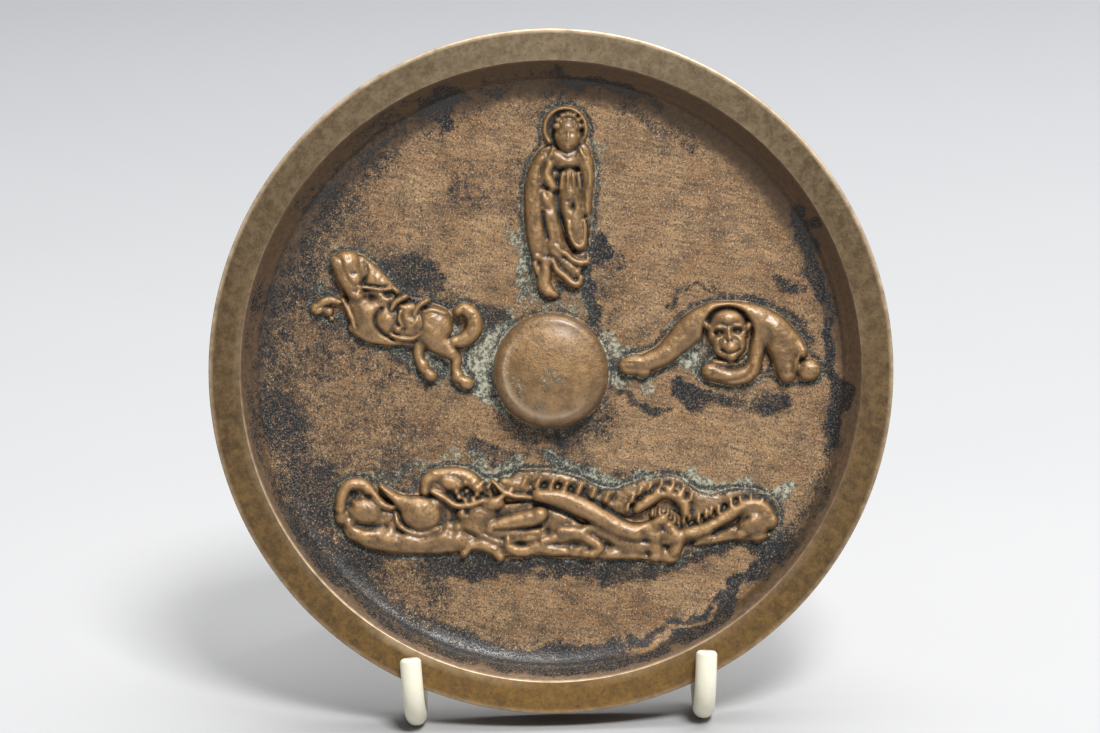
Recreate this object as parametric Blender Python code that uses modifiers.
"""A round brass mirror with cast relief figures, leaning on a coated-wire plate stand.

Metres, +Z up. The figured face looks towards -Y and leans back. The origin is on the
surface that the stand stands on, below the middle of the whole object.
"""

import math
from dataclasses import dataclass
from typing import Callable

import bmesh
import bpy
import numpy as np
from mathutils import Vector

# Mirror casting
MIRROR_DIAMETER = 0.120
MIRROR_THICKNESS = 0.0085
PLATE_THICKNESS = 0.003
RIM_WIDTH = 0.0056
RIM_EDGE_BEVEL = 0.0004
ARRIS_BEVEL = 0.0003
BACK_EDGE_BEVEL = 0.0004
WALL_RUN = 0.0026
COVE_RUN = 0.0053
COVE_HEIGHT = 0.0018
BOSS_DIAMETER = 0.0200
BOSS_HEIGHT = 0.0055
BOSS_SHOULDER = 0.0014
BOSS_DOME = 0.0006
BOSS_FILLET = 0.0007
BOSS_CROWN_SHARE = 0.55
BOSS_CROWN_DROP = 0.3
MIRROR_LEAN_DEG = 15.0
MIRROR_TURN_DEG = -1.5
TURNED_STEPS = 72
FLAT_FACE_WEIGHT = 90
COVE_STEPS = 4
SHOULDER_STEPS = 3

# Relief figures: lengths, heights of the modelling, and how far each block is sunk
DRAGON_LENGTH = 0.0787
HORSE_LENGTH = 0.03185
MONKEY_LENGTH = 0.0368
SAINT_LENGTH = 0.03575
DRAGON_RELIEF = 0.0027
HORSE_RELIEF = 0.0027
MONKEY_RELIEF = 0.0029
SAINT_RELIEF = 0.0025
RELIEF_SINK = 0.0017
RELIEF_EDGE = 0.00095
RELIEF_CELL = 0.00045

# Strokes of the modelling, in hundredths of a figure's length
FALL_SLOPE = 0.8
CREASE_WIDTH = 1.1
STROKE_MARGIN = 2.0
STROKE_REACH = 1.6

# Wire stand
WIRE_DIAMETER = 0.0038
FIT_GAP = 0.0003
PRONG_SPACING = 0.0505
PRONG_SPLAY = 0.0006
PRONG_HEIGHT = 0.0138
ARM_LENGTH = 0.074
STAND_DEPTH = 0.064
FOOT_SPACING = 0.060
TOP_BEND_RADIUS = 0.005
FOOT_BEND_RADIUS = 0.010
LOWER_TIE_UP = 0.018
UPPER_TIE_BELOW_BEND = 0.003
FOOT_FLAT_DEPTH = 0.00025
BEND_STEPS = 6
SIDE_RESOLUTION = 2
SMOOTH_UP_TO_DEG = 50.0
SAME_PLACE = 0.00002

# Worked out from the sizes above
WIRE_RADIUS = WIRE_DIAMETER / 2
MIRROR_RADIUS = MIRROR_DIAMETER / 2
BOSS_RADIUS = BOSS_DIAMETER / 2
ARRIS_RADIUS = MIRROR_RADIUS - RIM_WIDTH
COVE_RADIUS = ARRIS_RADIUS - WALL_RUN
FLOOR_RADIUS = COVE_RADIUS - COVE_RUN
LEAN = math.radians(MIRROR_LEAN_DEG)
UP_MIRROR = Vector((0.0, math.sin(LEAN), math.cos(LEAN)))
OUT_OF_MIRROR = Vector((0.0, -math.cos(LEAN), math.sin(LEAN)))
HOOK_RADIUS = MIRROR_THICKNESS / 2 + FIT_GAP + WIRE_RADIUS


def material(name, colour, metallic, roughness):
    """A plain Principled material."""
    made = bpy.data.materials.new(name)
    made.use_nodes = True
    shader = made.node_tree.nodes["Principled BSDF"]
    shader.inputs["Base Color"].default_value = (*colour, 1.0)
    shader.inputs["Metallic"].default_value = metallic
    shader.inputs["Roughness"].default_value = roughness
    made.diffuse_color = (*colour, 1.0)
    return made


def mesh_object(name, mesh, collection):
    """A new object for the mesh, linked to the collection."""
    made = bpy.data.objects.new(name, mesh)
    collection.objects.link(made)
    return made


def boolean(target, other, operation):
    """Joins the other object to the target, or cuts it out."""
    added = target.modifiers.new(operation.lower() + "_" + other.name, "BOOLEAN")
    added.operation = operation
    added.solver = "EXACT"
    added.object = other


def as_helper(helper):
    """Marks an object that only shapes another one."""
    helper.hide_render = True
    helper.display_type = "WIRE"


class Relief:
    """A height over a flat sheet, built up stroke by stroke.

    Places and widths are in hundredths of the figure's length. Heights are shares of the
    figure's full relief. Outside the strokes the height is below zero.
    """

    def __init__(self, across, up):
        self.across = across
        self.up = up
        self.height = np.full(across.shape, -1.0)

    def near(self, points, reach):
        """The samples in the box round the points."""
        low = points[:, :2].min(axis=0) - reach
        high = points[:, :2].max(axis=0) + reach
        inside = (self.across > low[0]) & (self.across < high[0])
        return inside & (self.up > low[1]) & (self.up < high[1])

    def lay(self, where, distance, form, soft, crease):
        """Blends a form in, with a crease pressed into what lies under its edge."""
        under = self.height[where]
        pressed = crease * np.exp(-((np.maximum(distance, 0.0) / CREASE_WIDTH) ** 2))
        under = under - np.where(under > 0, pressed, 0.0)
        self.height[where] = 0.5 * (under + form + np.sqrt((under - form) ** 2 + soft**2))

    def limb(self, points, height, soft=0.08, crease=0.0, fullness=2.2):
        """A rounded limb along a smooth line of (across, up, half width) points."""
        line = smooth_line(points)
        where = self.near(line, STROKE_REACH * line[:, 2].max() + STROKE_MARGIN)
        distance, width = distance_to(line, self.across[where], self.up[where])
        share = np.clip(distance / width + 1.0, 0.0, 1.0)
        round_top = height * (1.0 - share**fullness) ** (1.0 / fullness)
        form = np.where(distance < 0, round_top, -FALL_SLOPE * distance)
        self.lay(where, distance, form, soft, crease)

    def lump(
        self, across, up, half_width, half_height, height, turn=0.0, soft=0.08, crease=0.0, fullness=2.2
    ):
        """A rounded lump on an oval."""
        centre = np.array([[across, up]])
        where = self.near(centre, STROKE_REACH * max(half_width, half_height) + STROKE_MARGIN)
        right, over = turned(self.across[where] - across, self.up[where] - up, turn)
        share = np.hypot(right / half_width, over / half_height)
        distance = (share - 1.0) * min(half_width, half_height)
        round_top = height * (1.0 - np.clip(share, 0.0, 1.0) ** fullness) ** (1.0 / fullness)
        form = np.where(share < 1, round_top, -FALL_SLOPE * distance)
        self.lay(where, distance, form, soft, crease)

    def groove(self, points, width, depth):
        """A crease cut along a smooth line of (across, up) points."""
        line = smooth_line([(*point, width) for point in points])
        where = self.near(line, 3.0 * width)
        distance, _ = distance_to(line, self.across[where], self.up[where])
        cut = depth * np.exp(-(((distance + width) / width) ** 2))
        self.height[where] -= np.where(self.height[where] > 0, cut, 0.0)

    def dip(self, across, up, half_width, half_height, depth, turn=0.0):
        """A soft hollow on an oval."""
        where = self.near(np.array([[across, up]]), 2.5 * max(half_width, half_height))
        right, over = turned(self.across[where] - across, self.up[where] - up, turn)
        cut = depth * np.exp(-((right / half_width) ** 2) - (over / half_height) ** 2)
        self.height[where] -= np.where(self.height[where] > 0, cut, 0.0)


def turned(right, over, degrees):
    """The pair of coordinates in axes turned by the angle."""
    cosine = math.cos(math.radians(degrees))
    sine = math.sin(math.radians(degrees))
    return cosine * right + sine * over, cosine * over - sine * right


def smooth_line(points, spans=4):
    """Points along the smooth curve through the given ones."""
    given = np.array(points, float)
    if len(given) < 3:
        return given
    padded = np.vstack([2 * given[0] - given[1], given, 2 * given[-1] - given[-2]])
    line = []
    for before, start, end, after in zip(padded, padded[1:], padded[2:], padded[3:]):
        for share in np.arange(spans) / spans:
            bend = 2 * before - 5 * start + 4 * end - after
            twist = after - before + 3 * (start - end)
            line.append(start + 0.5 * share * ((end - before) + share * (bend + share * twist)))
    line.append(given[-1])
    return np.array(line)


def distance_to(line, across, up):
    """Distance outside a line with its own half width, and that half width."""
    distance = np.full(across.shape, np.inf)
    width = np.ones(across.shape)
    for start, end in zip(line, line[1:]):
        step = end - start
        length_squared = step[0] ** 2 + step[1] ** 2
        along = ((across - start[0]) * step[0] + (up - start[1]) * step[1]) / length_squared
        along = np.clip(along, 0.0, 1.0)
        here = start[2] + along * step[2]
        gap = np.hypot(across - start[0] - along * step[0], up - start[1] - along * step[1]) - here
        closer = gap < distance
        distance = np.where(closer, gap, distance)
        width = np.where(closer, here, width)
    return distance, width


def spines(relief, feet, lean, reach, half_width, height):
    """A row of short spines standing on the given feet."""
    for across, up in feet:
        tip = (across + lean, up + reach, 0.6 * half_width)
        relief.limb([(across, up, half_width), tip], height, soft=0.03)


def model_dragon(relief):
    """A dragon flying to the left after a pearl, with clouds under it."""
    ground = {"fullness": 5, "soft": 0.06}
    back = [(43, 19, 3.0), (50, 19, 2.9), (58, 16.2, 2.8), (65, 14.6, 3.4), (72, 17, 3.4), (77, 17.4, 3.3)]
    tail = [(77, 17.4, 3.3), (84, 13.6, 3.2), (91, 14.6, 3.3), (96.2, 13.2, 3.9), (96.8, 10.2, 3.7)]
    relief.limb(back, 0.36, **ground)
    relief.limb(tail, 0.36, **ground)
    relief.limb([(6, 8.5, 2.2), (14, 7.0, 3.0), (30, 6.6, 2.8)], 0.30, **ground)
    relief.limb([(40, 6, 3.0), (50, 6.5, 3.2), (60, 6, 3.6), (70, 4.5, 2.6), (75, 5, 3.4)], 0.30, **ground)
    relief.limb([(38, 10, 3), (48, 11.5, 3), (58, 9.5, 2.5)], 0.28, **ground)
    relief.limb([(6, 13, 4.5), (13, 12, 4.0), (28, 13, 5)], 0.30, **ground)
    relief.limb([(78, 6.8, 2.2), (86, 7.2, 1.9), (95, 8.2, 2.4)], 0.40, **ground)
    # flame and clouds round the pearl
    flame = [(2.6, 14.8, 1.2), (3.4, 18, 1.4), (5.6, 19.3, 1.5), (8.4, 17.8, 1.4), (11.2, 14.6, 1.1)]
    relief.limb(flame + [(14, 13.4, 1)], 0.62, crease=0.15)
    relief.lump(7.2, 12.3, 4.1, 3.1, 0.85, turn=-12, crease=0.15)
    relief.lump(2.4, 12.4, 1.8, 2.2, 0.5)
    relief.dip(6.6, 16.3, 1.5, 0.8, 0.55, turn=-35)
    cloud = [(3.6, 9.6, 0.9), (6, 7, 1.6), (10, 5.9, 2.0), (16, 5.9, 2.0), (24, 6, 2.5), (30, 6.3, 1.8)]
    relief.limb(cloud, 0.55, crease=0.12)
    relief.lump(13.2, 7.6, 2.1, 1.4, 0.62)
    relief.lump(24.6, 6.6, 3.0, 2.6, 0.66)
    relief.lump(28.4, 8.6, 1.7, 1.8, 0.60)
    # pearl
    relief.limb([(13.8, 12.6, 0.7), (14.6, 9.8, 0.8), (18, 7.4, 0.9), (24.2, 7.4, 0.9)], 0.58, crease=0.1)
    relief.limb([(11.2, 18.2, 0.6), (14, 16.4, 1.0), (19, 13.4, 3.0)], 0.80, crease=0.15)
    relief.lump(20.2, 11.4, 5.2, 4.2, 1.0, turn=-10, crease=0.25)
    # head
    curl = [(21, 17.6, 1.2), (21.6, 20, 1.6), (25, 21.3, 1.9), (30, 20.6, 2.2), (34, 17.8, 1.5)]
    relief.limb(curl, 0.72, crease=0.18)
    relief.lump(27.6, 19.6, 3.6, 2.2, 0.92, turn=-15)
    relief.lump(24.2, 16.6, 2.6, 2.4, 0.72)
    relief.lump(32.6, 11.4, 4.8, 4.4, 0.82, turn=-20, crease=0.2)
    relief.lump(35.6, 13.8, 3.2, 2.6, 1.0, turn=-20)
    lip = [(23.8, 17.6, 0.8), (26.4, 16.2, 0.9), (28.4, 14.5, 0.8), (34.5, 14.6, 0.8)]
    relief.limb(lip, 0.98, crease=0.12)
    relief.lump(31.0, 17.0, 3.0, 2.6, 0.90)
    relief.dip(30.9, 16.7, 1.5, 1.2, 0.45)
    relief.lump(30.5, 12.9, 1.3, 1.2, 0.95, soft=0.03, crease=0.1)
    spines(relief, [(33.2, 18.0), (35.2, 18.2)], 1.0, 1.8, 0.6, 0.7)
    whisker = [(35.6, 20.2, 0.6), (38.4, 17.8, 0.8), (42, 15.8, 0.8), (46, 15.9, 0.8), (47.6, 14.4, 0.7)]
    relief.limb([(39, 18.6, 2.0), (47, 18.0, 2.0)], 0.55)
    relief.limb(whisker, 0.84, soft=0.04, crease=0.1)
    relief.limb([(36, 9.4, 1.6), (42, 9.7, 1.9), (46.4, 11.2, 1.7)], 0.80, crease=0.2)
    relief.lump(46.6, 11.6, 1.5, 1.9, 0.95, turn=-25)
    relief.limb([(37.6, 7.6, 0.8), (46.4, 8.2, 0.9)], 0.5)
    # body, tail and the hump over it
    body = [(46.6, 16.6, 1.7), (51, 15.9, 2.2), (57, 13.4, 2.4), (63, 9.9, 2.3), (68, 8.1, 2.2)]
    body.append((74.4, 11, 1.6))
    strand = [(72, 7.6, 2.0), (77, 7, 1.9), (84, 9.1, 1.6), (90, 12.6, 1.7), (94.6, 14.1, 2.0)]
    strand.append((98, 10.8, 2.2))
    hump = [(68.6, 13.6, 1.2), (71.2, 15.4, 1.5), (74.8, 17.2, 1.7), (78.4, 16, 1.6), (79.5, 12.6, 1.1)]
    relief.limb(body, 1.0, crease=0.28)
    relief.limb(strand, 0.82, crease=0.22)
    relief.limb(hump, 0.80, crease=0.15)
    relief.dip(75.0, 14.4, 1.7, 1.2, 0.6)
    relief.lump(94.8, 10.2, 3.8, 3.4, 0.82, crease=0.15)
    relief.lump(94.4, 7.6, 3.0, 1.5, 0.6)
    relief.groove([(86, 8.6), (93.2, 11.6)], 0.6, 0.35)
    # crest of spines, with the pits between them
    for place in range(7):
        across = 43.2 + 3.05 * place
        up = 18.7 - 0.085 * place**2
        spines(relief, [(across, up)], 0.7, 1.9, 0.6, 0.74)
        relief.dip(across + 1.7, up + 0.9, 0.7, 0.9, 0.42, turn=-20)
    for place in range(7):
        angle = math.radians(172 - 22 * place)
        across = 74.6 + 7.4 * math.cos(angle)
        up = 12.6 + 5.9 * math.sin(angle)
        relief.limb([(across, up, 0.6), (across + 0.6, up + 1.5, 0.4)], 0.68, soft=0.03)
    for place in range(9):
        across = 80.4 + 2.0 * place
        up = 10.8 + 0.62 * place - 0.02 * place**2
        relief.limb([(across, up, 0.5), (across + 0.1, up + 1.7, 0.4)], 0.62, soft=0.03)
    # legs and cloud scrolls along the lower edge
    scroll = [(39.6, 6.6, 0.8), (40.4, 4.3, 1.1), (43, 3.6, 1.2), (46.6, 4.6, 1.4), (52, 3.4, 1.1)]
    relief.limb([(30.6, 2.9, 0.9), (31.8, 5.2, 1.0), (34.5, 5.1, 1.2), (37.8, 2, 0.9)], 0.58, crease=0.1)
    relief.limb([(33.5, 7.6, 0.9), (38.4, 5.4, 0.8)], 0.5)
    relief.limb(scroll, 0.56, crease=0.1)
    relief.limb([(48, 6, 1.0), (52, 7.3, 1.5), (58, 9.3, 1.2)], 0.62)
    relief.limb([(51.5, 8.4, 1.2), (56, 7.2, 1.3), (60.2, 3, 1.0)], 0.64, crease=0.1)
    relief.limb([(58.6, 9.2, 1.2), (65, 5.6, 1.4), (73, 4.6, 1.3)], 0.60, crease=0.1)
    relief.limb([(57.2, 3.2, 1.2), (66.4, 3.0, 1.3)], 0.5)
    relief.limb([(76.4, 7.6, 1.7), (77.4, 5.2, 1.5), (75.6, 3, 1.4)], 0.68, crease=0.12)
    relief.lump(73.2, 3.4, 2.0, 1.7, 0.58)
    relief.lump(75.8, 2.2, 2.0, 1.4, 0.52)
    relief.dip(54.4, 4.4, 1.8, 1.0, 0.5)
    relief.dip(61.4, 5.0, 0.9, 1.2, 0.4, turn=30)


def model_monkey(relief):
    """A crouching monkey that reaches out to the left, its head over a folded arm."""
    ground = {"fullness": 5, "soft": 0.06}
    relief.limb([(40, 30, 8), (52, 29, 10), (64, 26, 10), (73, 21, 8)], 0.32, **ground)
    relief.limb([(46, 7, 4), (56, 7, 5), (64, 10, 5)], 0.30, **ground)
    arm = [(48, 34.6, 6.2), (38, 32.6, 6.8), (31, 28, 6.2), (25, 21.5, 5.2), (19.5, 15.5, 4.5)]
    relief.limb(arm + [(12, 12.6, 4.2)], 0.80, crease=0.1)
    relief.limb([(12, 12.6, 4.2), (5.2, 12.4, 4.5)], 0.76)
    relief.lump(11.5, 8.6, 3.2, 2.2, 0.5)
    for finger in range(4):
        up = 15.0 - 2.1 * finger
        relief.limb([(8.2, 0.6 * up + 4.8, 1.1), (1.4, up, 1.1)], 0.80, soft=0.02)
    back = [(44, 35.6, 5.6), (56, 36, 5.4), (66, 33.4, 6.0), (74, 27, 6.2), (79.4, 17.5, 5.0), (81, 8.6, 4.2)]
    relief.limb(back, 0.86)
    relief.limb([(85, 24, 1.7), (87.4, 18, 1.6), (85.5, 10, 1.5)], 0.60, crease=0.1)
    relief.limb([(82, 6.5, 3.6), (93.5, 8.2, 4.4)], 0.66, crease=0.1)
    relief.lump(91.0, 13.2, 2.6, 2.4, 0.62)
    # folded arm and what lies under it
    fold = [(69, 25, 5.4), (67, 18.5, 5.0), (62.5, 12.5, 4.4), (55, 8.4, 4.0), (44.5, 9.4, 3.6)]
    relief.limb(fold, 0.74, crease=0.2)
    relief.limb([(40, 4.6, 1.6), (50, 2.8, 2.0), (62, 4.4, 2.0), (66, 7.6, 1.5)], 0.45)
    for finger in range(3):
        relief.limb([(47, 9.6 - 0.8 * finger, 1.1), (41.8, 11.4 - 2.3 * finger, 1.2)], 0.74, soft=0.02)
    relief.dip(70.5, 11.0, 2.6, 3.0, 0.6)
    relief.dip(38.0, 17.5, 2.0, 3.2, 0.5)
    # head
    relief.lump(51.2, 27.6, 10.2, 10.2, 0.98, fullness=2.6, crease=0.3)
    relief.lump(52.4, 20.6, 7.4, 7.6, 0.98, fullness=2.6)
    brow_line = [(42.6, 17.5), (40.4, 26), (44, 35.4), (51, 38.2), (58.5, 35.8), (62.4, 28)]
    relief.groove(brow_line + [(60.5, 18.5), (55.5, 12.4)], 1.3, 0.42)
    relief.lump(51.4, 33.0, 7.6, 4.8, 1.10, fullness=2.4)
    for side in (-1, 1):
        relief.lump(51.6 + 4.6 * side, 29.4 + 0.5 * side, 3.2, 1.3, 1.12, turn=8 * side)
        relief.dip(51.6 + 4.4 * side, 27.0 + 0.6 * side, 2.2, 1.4, 0.34)
        relief.lump(51.8 + 5.2 * side, 22.6, 2.6, 3.0, 1.0)
    relief.limb([(51.6, 28.4, 1.0), (52.2, 23.6, 1.7)], 1.16)
    relief.lump(53.0, 18.6, 5.0, 4.6, 1.16, fullness=2.6)
    relief.groove([(48.8, 18.0), (53, 16.7), (57.2, 18.2)], 0.8, 0.3)


def model_horse(relief):
    """A saddled horse that looks back over its shoulder."""
    ground = {"fullness": 5, "soft": 0.06}
    relief.limb([(30, 62, 8), (36, 52, 12), (48, 42, 13), (62, 38, 12), (70, 36, 11)], 0.30, **ground)
    relief.limb([(27, 34.5, 3.0), (36, 31, 3.4), (52, 29, 3.4), (60, 28.4, 4.0)], 0.40, **ground)
    relief.limb([(27, 70, 7.0), (34, 62, 9.0), (36, 52, 11.5), (40, 44, 12.5)], 0.66)
    relief.limb([(40, 41, 11.5), (52, 38, 9.5), (64, 36.5, 10.0), (69, 36, 10.5)], 0.74)
    relief.lump(33.5, 44.0, 9.5, 10.0, 0.86)
    relief.lump(44.5, 39.8, 7.4, 8.4, 0.88, crease=0.12)
    relief.lump(69.5, 35.2, 10.8, 12.0, 1.0, turn=-10, crease=0.1)
    relief.limb([(64, 45.5, 1.8), (70, 46, 2.0), (76, 43.5, 1.8)], 0.86)
    # mane, head and rein
    mane = [(24, 77.4, 2.4), (31.5, 74.2, 3.0), (38.6, 68.6, 3.2), (45.6, 62.2, 3.0), (51.6, 57, 2.4)]
    relief.limb(mane, 0.66)
    relief.limb([(21.5, 73, 7.0), (24.2, 66, 6.6), (26.6, 58.5, 5.0), (27.8, 54, 4.2)], 0.98, crease=0.22)
    relief.lump(28.0, 53.6, 4.4, 3.9, 0.98)
    relief.lump(24.6, 68.0, 3.4, 3.0, 1.14, soft=0.04)
    relief.dip(24.8, 67.8, 1.6, 1.3, 0.3)
    relief.lump(15.0, 73.2, 3.6, 5.0, 0.84, turn=25)
    relief.lump(21.0, 77.2, 5.0, 3.0, 0.84)
    relief.groove([(33, 73), (33.6, 66), (31.4, 60)], 0.9, 0.3)
    rein = [(28.4, 60.2, 1.4), (38, 58.4, 1.5), (48, 57.6, 1.5), (53.2, 54.8, 1.5)]
    relief.limb(rein, 0.96, soft=0.03, crease=0.15)
    for twist in range(9):
        across = 30 + 2.45 * twist
        up = 60.0 - 0.3 * twist
        relief.groove([(across - 0.8, up + 1.6), (across + 0.8, up - 1.6)], 0.6, 0.16)
    relief.dip(37.0, 54.6, 3.6, 1.6, 0.4)
    # straps and shoulder
    strap = [(19.6, 51, 1.5), (22.6, 44.4, 1.6), (25.4, 38.4, 1.6), (30, 35.3, 1.6), (35, 34.4, 1.5)]
    relief.limb(strap, 0.74, crease=0.1)
    relief.groove([(39.6, 48), (37, 42.6), (38, 36.4), (44.6, 31.4)], 1.1, 0.28)
    # saddle
    flap = [(51.4, 44.5, 2.0), (50, 39, 2.2), (53, 35.4, 2.4), (59.4, 36, 2.4), (61.4, 42, 2.2)]
    relief.limb(flap, 0.94, crease=0.18)
    relief.lump(56.0, 40.4, 4.6, 4.4, 0.92)
    relief.limb([(46.6, 46.2, 2.0), (49, 50.6, 2.2), (53.6, 53.6, 2.1), (57, 53.2, 1.6)], 1.0, crease=0.15)
    relief.limb([(53, 47.6, 2.4), (61, 46.4, 2.2)], 0.86)
    relief.limb([(60.2, 44.2, 2.0), (62.4, 48.4, 2.1), (67, 51.4, 1.9)], 0.98, crease=0.15)
    girth = [(50.4, 36.6, 1.3), (54, 31.8, 1.4), (60, 31.4, 1.4), (64.2, 34.6, 1.3)]
    relief.limb(girth, 0.90, soft=0.04, crease=0.12)
    # tail and legs
    tail = [(82.4, 28.6, 3.6), (88.6, 29.4, 4.0), (93.4, 35, 4.4), (92.6, 42.6, 4.4), (87, 46.2, 3.9)]
    relief.limb(tail + [(83, 44.6, 2.6)], 0.84)
    relief.limb([(63.6, 26, 4.0), (62.8, 19.6, 3.2), (64.6, 14, 3.1), (68.6, 9.4, 3.6)], 0.66, crease=0.12)
    relief.lump(69.6, 8.6, 4.4, 3.8, 0.66, turn=-30)
    relief.limb([(76.5, 27, 5.4), (81.6, 21, 3.4), (82.4, 14.4, 2.9), (86, 7.8, 3.4)], 0.70, crease=0.12)
    relief.lump(88.6, 5.6, 5.0, 4.2, 0.68, turn=-30)
    relief.limb([(17.4, 51.6, 2.0), (10, 51.6, 2.3), (5.6, 49.4, 2.8)], 0.56)
    relief.lump(5.6, 48.0, 4.0, 3.6, 0.58)
    relief.lump(12.4, 43.4, 3.0, 2.8, 0.46)


def model_saint(relief):
    """A standing robed figure with a halo, its face plain and calm."""
    ground = {"fullness": 5, "soft": 0.06}
    relief.limb([(-5, 71, 6), (-7, 60, 10), (-8, 48, 10), (-6, 34, 9.5), (-5, 24, 8)], 0.30, **ground)
    relief.limb([(6, 74, 6), (6, 60, 8), (7, 36, 7), (6, 20, 6)], 0.30, **ground)
    for place in range(13):
        start = math.radians(-40 + 20 * place)
        end = math.radians(-20 + 20 * place)
        ring = [(2.4 + 10 * math.cos(angle), 87 + 10 * math.sin(angle), 1.4) for angle in (start, end)]
        relief.limb(ring, 0.55, soft=0.0)
    relief.lump(2.4, 87.0, 9.6, 9.6, 0.16, fullness=8)
    relief.limb([(3.8, 79, 4.2), (3.6, 73, 4.6)], 0.66)
    relief.limb([(-6, 71.5, 4.6), (0, 74.6, 4.6), (8, 74.5, 4.6), (11.8, 70.5, 4.0)], 0.66)
    # cloak and gown
    cloak = [(-9.5, 72, 4.2), (-12, 63, 4.8), (-13.2, 50, 4.9), (-12.6, 36, 4.5), (-10.4, 24, 4.2)]
    relief.limb(cloak, 0.78, crease=0.12)
    relief.limb([(-5.8, 60, 4.4), (-5.4, 48, 4.2), (-4, 36, 4.2), (-1.6, 24, 3.6)], 0.66, crease=0.1)
    relief.limb([(12, 72, 4.0), (13.4, 65, 3.8), (12.4, 57, 3.4)], 0.74, crease=0.1)
    relief.lump(3.6, 70.5, 7.6, 5.6, 0.76)
    relief.groove([(-3.4, 76.5), (0.4, 71.4), (3.6, 69.6), (7.2, 71.4), (10.4, 76)], 1.1, 0.26)
    relief.groove([(-4, 66.4), (2.4, 65.4), (8.6, 66.4)], 1.2, 0.24)
    # arms
    relief.limb([(-6.2, 72.5, 3.0), (-8, 66.4, 3.2), (-5.6, 61, 2.8), (-2.4, 59.2, 2.4)], 0.88, crease=0.18)
    relief.lump(-2.6, 59.2, 2.8, 2.4, 0.96)
    relief.limb([(11.8, 70.5, 3.0), (13.6, 65.5, 3.0), (11, 62.4, 2.6)], 0.86, crease=0.15)
    # hanging sleeve and its folds
    sleeve = [(5.6, 61.5, 5.6), (5.8, 54, 6.2), (6.4, 46, 6.0), (7.4, 38, 5.4), (9, 30.5, 4.0)]
    relief.limb(sleeve + [(10.6, 27.2, 2.6)], 0.90, crease=0.22)
    relief.groove([(3.2, 44), (4, 36.6), (7, 29.4), (10.4, 28.2), (12.2, 32), (11.4, 42)], 1.0, 0.2)
    for fold in range(4):
        across = 3.0 + 2.45 * fold
        relief.limb([(across, 63.4, 1.0), (across - 0.2, 58.6, 1.0)], 0.99, soft=0.03)
    relief.dip(5.0, 48.2, 1.5, 1.5, 0.24)
    relief.groove([(-9.4, 50), (-9, 44), (-7.4, 31.5)], 1.1, 0.3)
    relief.groove([(-2.8, 57), (-2.2, 47), (2, 33), (8.2, 24)], 1.1, 0.34)
    # hems and foot
    long_hem = [(-13, 23.6, 1.8), (-7, 21.8, 2.0), (-2.8, 18.4, 2.0), (2, 16.4, 1.9), (8, 11.2, 1.9)]
    short_hem = [(-3.2, 26.6, 1.6), (0.4, 23.8, 1.8), (6.6, 20.8, 1.8), (13.2, 20.6, 1.4)]
    relief.limb(long_hem + [(10, 13.4, 1.6)], 0.70, crease=0.12)
    relief.limb(short_hem, 0.66, crease=0.12)
    relief.limb([(-13.2, 18.6, 1.6), (-8, 14.4, 1.6)], 0.52)
    relief.limb([(-7.4, 18.4, 3.4), (-7.2, 12, 3.6), (-6, 7.4, 4.2)], 0.62, crease=0.1)
    relief.lump(-4.8, 6.2, 4.2, 3.6, 0.60, turn=-30)
    relief.limb([(3.4, 18.4, 2.4), (6.8, 15.8, 2.4)], 0.5)
    model_plain_head(relief, 4.0, 84.2, 5.4, 7.6)


def model_plain_head(relief, across, up, half_width, half_height):
    """An oval head with dressed hair: eyes at half its height, nose and mouth by thirds."""
    crown = up + 0.1 * half_height
    relief.lump(across, crown, 1.2 * half_width, 1.2 * half_height, 0.98, fullness=2.6, crease=0.2)
    for lock in range(5):
        angle = math.radians(14 + 38 * lock)
        lock_across = across + 1.02 * half_width * math.cos(angle)
        lock_up = up + 0.5 * half_height + 0.8 * half_height * math.sin(angle)
        relief.lump(lock_across, lock_up, 2.0, 1.8, 1.04, soft=0.03)
    relief.lump(across, up, half_width, half_height, 1.12, fullness=3.0)
    for side in (-1, 1):
        relief.dip(across + 0.42 * side * half_width, up, 0.3 * half_width, 0.12 * half_height, 0.2)
    nose = [(across, crown, 0.7), (across, up - 0.32 * half_height, 1.0)]
    relief.limb(nose, 1.24, soft=0.03)
    lips = [(across + 0.24 * side * half_width, up - 0.58 * half_height, 0.7) for side in (-1, 1)]
    relief.limb(lips, 1.18, soft=0.03)


@dataclass
class Figure:
    """A relief figure and the sheet that it is modelled on.

    Its middle lies at a share of the way from the boss to the cove, in a direction given in
    degrees. The sheet's own middle and half extent are in hundredths of the figure's length.
    """

    name: str
    model: Callable
    length: float
    relief: float
    share: float
    direction: float
    middle: tuple
    extent: tuple
    thinning: float

    def centre(self):
        """Its place on the mirror's face."""
        reach = BOSS_RADIUS + self.share * (FLOOR_RADIUS - BOSS_RADIUS)
        angle = math.radians(self.direction)
        return reach * math.cos(angle), reach * math.sin(angle)


FIGURES = (
    Figure("dragon", model_dragon, DRAGON_LENGTH, DRAGON_RELIEF, 0.425, -88.8, (50, 12), (52, 13), 0.059),
    Figure("horse", model_horse, HORSE_LENGTH, HORSE_RELIEF, 0.523, 160.6, (50, 42), (53, 43), 0.060),
    Figure("monkey", model_monkey, MONKEY_LENGTH, MONKEY_RELIEF, 0.575, 8.8, (50, 21), (53, 24), 0.065),
    Figure("saint", model_saint, SAINT_LENGTH, SAINT_RELIEF, 0.553, 87.0, (0, 49), (21, 52), 0.086),
)


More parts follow.
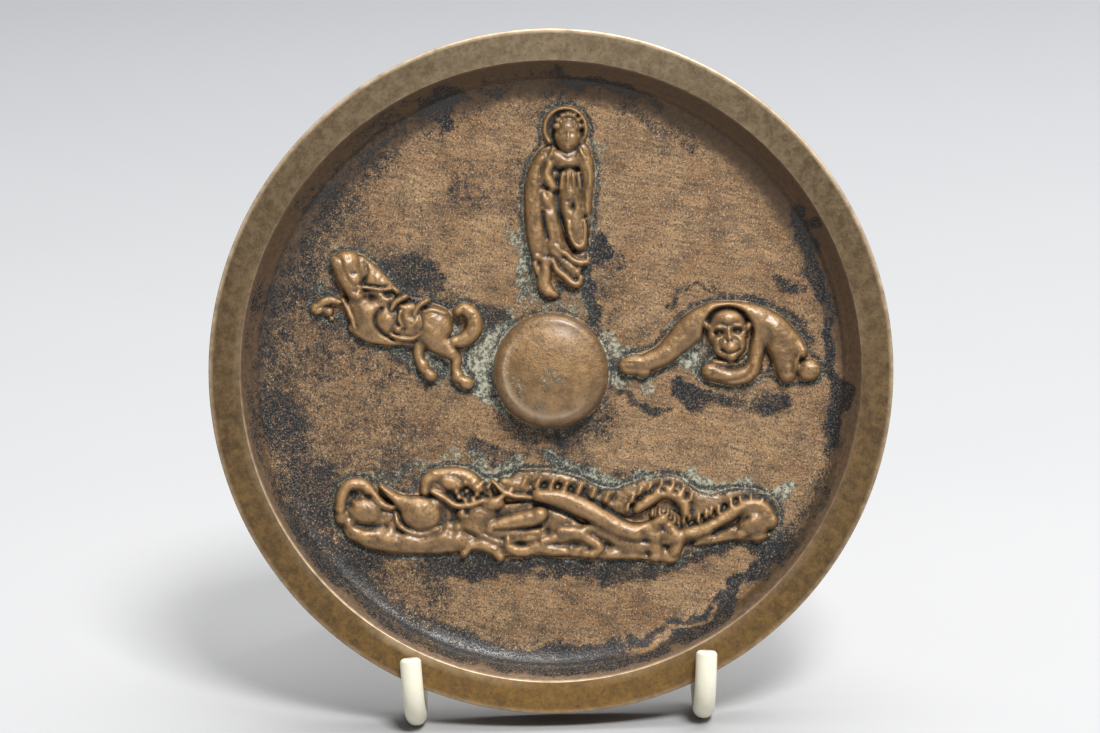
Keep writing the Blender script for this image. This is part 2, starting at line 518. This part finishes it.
def relief_block(figure, collection):
    """One figure as a closed block, its lower part sunk in the mirror's plate."""
    unit = figure.length / 100
    cells = [max(4, round(2 * half * unit / RELIEF_CELL)) for half in figure.extent]
    sheet = bmesh.new()
    bmesh.ops.create_grid(sheet, x_segments=cells[0], y_segments=cells[1], size=1.0)
    shares = np.array([vertex.co[:2] for vertex in sheet.verts])
    places = np.array(figure.middle) + np.array(figure.extent) * shares
    relief = Relief(places[:, 0], places[:, 1])
    figure.model(relief)
    centre = figure.centre()
    heights = PLATE_THICKNESS + np.maximum(relief.height * figure.relief, -RELIEF_EDGE)
    for vertex, place, height in zip(sheet.verts, shares, heights):
        vertex.co.x = centre[0] + figure.extent[0] * unit * place[0]
        vertex.co.y = centre[1] + figure.extent[1] * unit * place[1]
        vertex.co.z = height
    added = bmesh.ops.extrude_face_region(sheet, geom=list(sheet.faces))["geom"]
    for item in added:
        if isinstance(item, bmesh.types.BMVert):
            item.co.z = PLATE_THICKNESS - RELIEF_SINK
    bmesh.ops.recalc_face_normals(sheet, faces=sheet.faces)
    mesh = bpy.data.meshes.new(figure.name + "_relief")
    sheet.to_mesh(mesh)
    sheet.free()
    block = mesh_object(figure.name + "_relief", mesh, collection)
    thinned = block.modifiers.new("thinned", "DECIMATE")
    thinned.ratio = figure.thinning
    as_helper(block)
    return block


def quarter(centre_out, centre_up, run, rise, start_deg, end_deg, steps):
    """Points on a quarter of an oval in the turned profile."""
    points = []
    for step in range(steps + 1):
        angle = math.radians(start_deg + (end_deg - start_deg) * step / steps)
        points.append((centre_out + run * math.cos(angle), centre_up + rise * math.sin(angle)))
    return points


def mirror_profile():
    """(radius, height) from the top of the boss, over the rim, to the middle of the back."""
    floor = PLATE_THICKNESS
    boss_top = floor + BOSS_HEIGHT
    shoulder_top = boss_top - BOSS_DOME
    cap_radius = BOSS_RADIUS - BOSS_SHOULDER
    wall_foot = floor + COVE_HEIGHT
    shoulder_centre = shoulder_top - BOSS_SHOULDER
    points = [(0.0, boss_top), (BOSS_CROWN_SHARE * cap_radius, boss_top - BOSS_CROWN_DROP * BOSS_DOME)]
    points += quarter(cap_radius, shoulder_centre, BOSS_SHOULDER, BOSS_SHOULDER, 90, 0, SHOULDER_STEPS)
    points += [(BOSS_RADIUS, floor + BOSS_FILLET), (BOSS_RADIUS + BOSS_FILLET, floor)]
    points += quarter(FLOOR_RADIUS, wall_foot, COVE_RUN, COVE_HEIGHT, -90, 0, COVE_STEPS)
    points += [(ARRIS_RADIUS - ARRIS_BEVEL, MIRROR_THICKNESS - ARRIS_BEVEL)]
    points += [(ARRIS_RADIUS, MIRROR_THICKNESS), (MIRROR_RADIUS - RIM_EDGE_BEVEL, MIRROR_THICKNESS)]
    points += [(MIRROR_RADIUS, MIRROR_THICKNESS - RIM_EDGE_BEVEL)]
    points += [(MIRROR_RADIUS, BACK_EDGE_BEVEL), (MIRROR_RADIUS - BACK_EDGE_BEVEL, 0.0), (0.0, 0.0)]
    return points


def make_mirror(parts, cutters, hooks_height):
    """The casting: a turned dish with its boss, and four figures joined to its floor."""
    points = mirror_profile()
    mesh = bpy.data.meshes.new("mirror")
    edges = [(step, step + 1) for step in range(len(points) - 1)]
    mesh.from_pydata([(radius, 0.0, height) for radius, height in points], edges, [])
    mirror = mesh_object("mirror", mesh, parts)
    turning = mirror.modifiers.new("turning", "SCREW")
    turning.axis = "Z"
    turning.steps = turning.render_steps = TURNED_STEPS
    turning.use_merge_vertices = True
    turning.merge_threshold = 0.00001
    turning.use_smooth_shade = True
    lean = bpy.data.objects.new("mirror_lean", None)
    parts.objects.link(lean)
    lean.rotation_euler.x = math.radians(90.0) - LEAN
    lean.location = hooks_height
    mirror.parent = lean
    mirror.rotation_euler.z = math.radians(MIRROR_TURN_DEG)
    for figure in FIGURES:
        block = relief_block(figure, cutters)
        block.parent = mirror
        boolean(mirror, block, "UNION")
    shading = mirror.modifiers.new("shading", "WEIGHTED_NORMAL")
    shading.weight = FLAT_FACE_WEIGHT
    mirror.data.materials.append(material("aged_brass", (0.30, 0.20, 0.11), 0.9, 0.42))
    return mirror


def bend_setback(before, corner, after, radius):
    """How far from a corner its rounding begins."""
    return radius / math.tan((before - corner).angle(after - corner) / 2)


def rounded_path(corners, radii, steps):
    """The straight path through the corners, with each corner rounded to its radius."""
    path = [corners[0]]
    for before, corner, after, radius in zip(corners, corners[1:], corners[2:], radii):
        back = (before - corner).normalized()
        ahead = (after - corner).normalized()
        half_angle = back.angle(ahead) / 2
        setback = bend_setback(before, corner, after, radius)
        centre = corner + (back + ahead).normalized() * radius / math.sin(half_angle)
        start = (corner + back * setback - centre).normalized()
        end = (corner + ahead * setback - centre).normalized()
        for step in range(steps + 1):
            place = centre + radius * start.slerp(end, step / steps)
            if (place - path[-1]).length > SAME_PLACE:
                path.append(place)
    path.append(corners[-1])
    return path


def wire(name, path, rounded_ends, collection):
    """A wire along the path as one closed mesh."""
    curve = bpy.data.curves.new(name, "CURVE")
    curve.dimensions = "3D"
    curve.bevel_depth = WIRE_RADIUS
    curve.bevel_resolution = SIDE_RESOLUTION
    curve.use_fill_caps = True
    thickness = [1.0] * len(path)
    if rounded_ends:
        path, thickness = with_round_ends(path)
    spline = curve.splines.new("POLY")
    spline.points.add(len(path) - 1)
    for point, place, share in zip(spline.points, path, thickness):
        point.co = (*place, 1.0)
        point.radius = share
    guide = mesh_object(name + "_guide", curve, collection)
    evaluated = guide.evaluated_get(bpy.context.evaluated_depsgraph_get())
    mesh = bpy.data.meshes.new_from_object(evaluated)
    made = mesh_object(name, mesh, collection)
    made.matrix_world = guide.matrix_world
    bpy.data.objects.remove(guide)
    shell = bmesh.new()
    shell.from_mesh(mesh)
    bmesh.ops.remove_doubles(shell, verts=shell.verts, dist=0.00001)
    bmesh.ops.recalc_face_normals(shell, faces=shell.faces)
    shell.to_mesh(mesh)
    shell.free()
    mesh.shade_smooth()
    mesh.set_sharp_from_angle(angle=math.radians(SMOOTH_UP_TO_DEG))
    return made


def with_round_ends(path):
    """The path with a few points at each end that narrow to a dome, and their thickness."""
    angles = [math.radians(18 * step) for step in range(1, 5)]
    dome = [(WIRE_RADIUS * (1 - math.sin(angle)), math.cos(angle)) for angle in reversed(angles)]
    thickness = [share for _, share in dome]
    first = (path[1] - path[0]).normalized()
    last = (path[-2] - path[-1]).normalized()
    head = [path[0] + first * inset for inset, _ in dome]
    tail = [path[-1] + last * inset for inset, _ in reversed(dome)]
    shoulders = [path[0] + first * WIRE_RADIUS], [path[-1] + last * WIRE_RADIUS]
    rounded = head + shoulders[0] + list(path[1:-1]) + shoulders[1] + tail
    return rounded, thickness + [1.0] * (len(path)) + thickness[::-1]


def hook_centre():
    """Middle of the hook's bend, between the two hooks. The whole depth is centred on Y = 0."""
    return Vector((0.0, (HOOK_RADIUS - STAND_DEPTH) / 2, HOOK_RADIUS + WIRE_RADIUS - FOOT_FLAT_DEPTH))


def side_corners(side):
    """Corner points of one side of the frame, from the prong's tip to the foot."""
    centre = hook_centre()
    hook_out = side * PRONG_SPACING / 2
    tip_out = hook_out + side * PRONG_SPLAY
    foot = Vector((side * FOOT_SPACING / 2, centre.y + STAND_DEPTH, WIRE_RADIUS - FOOT_FLAT_DEPTH))
    front = centre + HOOK_RADIUS * OUT_OF_MIRROR
    rise = (PRONG_HEIGHT - front.z) / UP_MIRROR.z
    tip = front + rise * UP_MIRROR + Vector((tip_out, 0.0, 0.0))
    low = centre - HOOK_RADIUS * UP_MIRROR
    front_corner = low + HOOK_RADIUS * OUT_OF_MIRROR + Vector((hook_out, 0.0, 0.0))
    back_corner = low - HOOK_RADIUS * OUT_OF_MIRROR + Vector((hook_out, 0.0, 0.0))
    top = centre - HOOK_RADIUS * OUT_OF_MIRROR + ARM_LENGTH * UP_MIRROR + Vector((hook_out, 0.0, 0.0))
    return [tip, front_corner, back_corner, top, foot]


def tie_path(up):
    """A straight tie between the two arms behind the mirror."""
    centre = hook_centre() - HOOK_RADIUS * OUT_OF_MIRROR + up * UP_MIRROR
    reach = Vector((PRONG_SPACING / 2, 0.0, 0.0))
    return [centre - reach, centre, centre + reach]


def make_stand(parts, cutters):
    """One bent wire with two prongs, two arms, two legs and a foot, and two welded ties."""
    left = side_corners(-1)
    right = side_corners(1)
    corners = left + right[::-1]
    bends = [HOOK_RADIUS, HOOK_RADIUS, TOP_BEND_RADIUS, FOOT_BEND_RADIUS]
    path = rounded_path(corners, bends + bends[::-1], BEND_STEPS)
    stand = wire("wire_stand", path, True, parts)
    top_bend = bend_setback(*right[2:5], TOP_BEND_RADIUS)
    upper_tie_up = ARM_LENGTH - top_bend - UPPER_TIE_BELOW_BEND
    for name, up in (("lower_tie", LOWER_TIE_UP), ("upper_tie", upper_tie_up)):
        tie = wire(name, tie_path(up), False, cutters)
        as_helper(tie)
        boolean(stand, tie, "UNION")
    table = bmesh.new()
    bmesh.ops.create_cube(table, size=1.0)
    side = 3 * (FOOT_SPACING + STAND_DEPTH)
    bmesh.ops.scale(table, vec=(side, side, 2 * WIRE_DIAMETER), verts=table.verts)
    bmesh.ops.translate(table, vec=(0.0, 0.0, -WIRE_DIAMETER), verts=table.verts)
    mesh = bpy.data.meshes.new("table_line")
    table.to_mesh(mesh)
    table.free()
    cutter = mesh_object("table_line", mesh, cutters)
    as_helper(cutter)
    boolean(stand, cutter, "DIFFERENCE")
    stand.data.materials.append(material("cream_coating", (0.82, 0.79, 0.66), 0.0, 0.45))
    return stand


def mirror_place():
    """Where the middle of the mirror's back comes when its edge lies in the hooks."""
    edge_drop = math.sqrt(MIRROR_RADIUS**2 - (PRONG_SPACING / 2) ** 2)
    seat = math.sqrt((HOOK_RADIUS - WIRE_RADIUS) ** 2 - (MIRROR_THICKNESS / 2 + FIT_GAP / 2) ** 2)
    centre = hook_centre() - MIRROR_THICKNESS / 2 * OUT_OF_MIRROR
    return centre + (edge_drop - seat + FIT_GAP) * UP_MIRROR


def main():
    """Clears the scene and models the object."""
    for old in list(bpy.data.objects):
        bpy.data.objects.remove(old)
    parts = bpy.data.collections.new("brass_mirror_on_stand")
    cutters = bpy.data.collections.new("cutters")
    bpy.context.scene.collection.children.link(parts)
    bpy.context.scene.collection.children.link(cutters)
    make_mirror(parts, cutters, mirror_place())
    make_stand(parts, cutters)


main()
